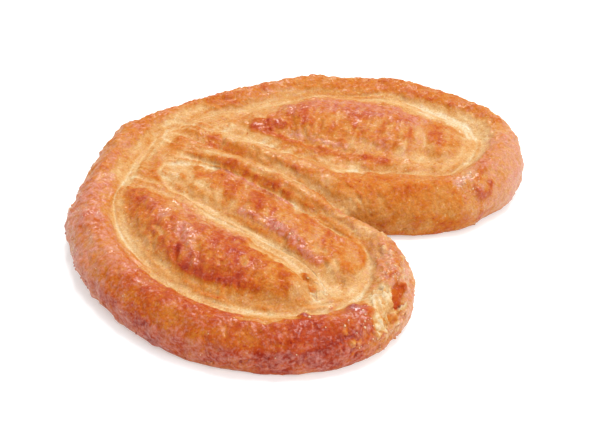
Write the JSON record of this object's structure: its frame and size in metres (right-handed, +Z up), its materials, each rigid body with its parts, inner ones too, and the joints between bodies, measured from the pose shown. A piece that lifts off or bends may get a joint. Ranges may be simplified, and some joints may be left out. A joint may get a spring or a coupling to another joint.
{
  "type": "palmier pastry",
  "caption": "Heart-shaped puff pastry baked flat, with a raised rolled rim, folded inner layers, a blistered top and a notch between its lobes.",
  "frame": {"origin": "on the table, under the middle of the pastry's bounding box", "axes": "+Z up, +X from the rounded base towards the open end of the notch, +Y towards the lobe whose inner roll is one wide oval"},
  "size_m": [0.093, 0.1154, 0.0127],
  "materials": {
    "crust": "baked puff pastry with a thin caramelised sugar glaze"
  },
  "bodies": {
    "root": {"palmier": "crust"}
  },
  "joints": []
}
